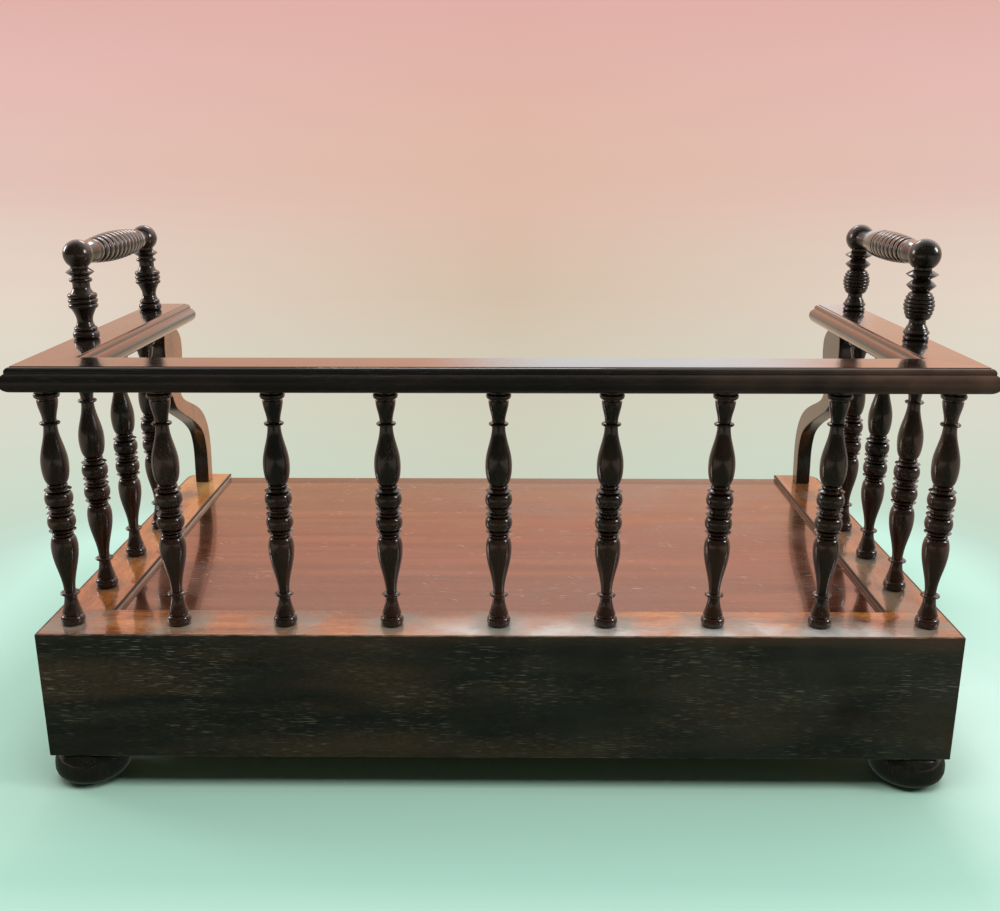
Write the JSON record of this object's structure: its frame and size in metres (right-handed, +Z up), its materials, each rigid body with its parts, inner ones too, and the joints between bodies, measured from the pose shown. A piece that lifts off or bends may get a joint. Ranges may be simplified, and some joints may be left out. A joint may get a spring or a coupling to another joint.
{
  "type": "book trough",
  "caption": "Table-top book trough: sunk platform with a turned gallery round its back and ends, scroll brackets at the open front, reeded carrying handles and a drawer below.",
  "frame": {"origin": "on the surface it stands on, under the centre of the whole object's box", "axes": "+X to the right of someone facing the drawer, +Y to the back row of balusters, +Z up"},
  "size_m": [0.4058, 0.2549, 0.2374],
  "materials": {
    "rosewood_veneer": "dark rosewood with fine pale pores, French polished",
    "turned_rosewood": "near-black turned rosewood, glossy, with reddish glints",
    "platform_mahogany": "reddish-brown polished board with fine scratches",
    "border_wood": "orange-brown polished slips, dulled round the balusters' feet",
    "carcase_wood": "plain secondary wood, dry and unpolished",
    "drawer_wood": "plain straight-grained drawer wood, waxed",
    "screw_steel": "dull hand-cut screws"
  },
  "bodies": {
    "case": {"back_board": "carcase_wood", "left_board": "carcase_wood", "right_board": "carcase_wood", "bottom_board": "carcase_wood", "front_rail": "rosewood_veneer", "back_veneer": "rosewood_veneer", "left_veneer": "rosewood_veneer", "right_veneer": "rosewood_veneer", "rail_back": "rosewood_veneer", "rail_left": "rosewood_veneer", "rail_right": "rosewood_veneer", "drawer_stops": "drawer_wood", "bottom_screws": "screw_steel", "platform": "platform_mahogany", "front_lip": "platform_mahogany", "border_back": "border_wood", "border_left": "border_wood", "border_right": "border_wood", "foot_front_left": "turned_rosewood", "foot_front_right": "turned_rosewood", "foot_back_left": "turned_rosewood", "foot_back_right": "turned_rosewood", "baluster_back_1": "turned_rosewood", "baluster_back_2": "turned_rosewood", "baluster_back_3": "turned_rosewood", "baluster_back_4": "turned_rosewood", "baluster_back_5": "turned_rosewood", "baluster_back_6": "turned_rosewood", "baluster_back_7": "turned_rosewood", "baluster_back_8": "turned_rosewood", "baluster_back_9": "turned_rosewood", "baluster_left_1": "turned_rosewood", "baluster_left_2": "turned_rosewood", "baluster_left_3": "turned_rosewood", "baluster_right_1": "turned_rosewood", "baluster_right_2": "turned_rosewood", "baluster_right_3": "turned_rosewood", "bracket_left": "turned_rosewood", "bracket_right": "turned_rosewood", "post_left_back": "turned_rosewood", "post_left_front": "turned_rosewood", "post_right_back": "turned_rosewood", "post_right_front": "turned_rosewood", "grip_left": "turned_rosewood", "grip_right": "turned_rosewood"},
    "drawer": {"drawer_front": "drawer_wood", "drawer_veneer": "rosewood_veneer", "drawer_left_side": "drawer_wood", "drawer_right_side": "drawer_wood", "drawer_back": "drawer_wood", "drawer_bottom": "drawer_wood", "knob_left": "turned_rosewood", "knob_right": "turned_rosewood"}
  },
  "joints": [
    {"name": "drawer_slide", "type": "slide", "parent": "case", "child": "drawer", "axis": [0, -1, 0], "range_m": [0, 0.16]}
  ]
}
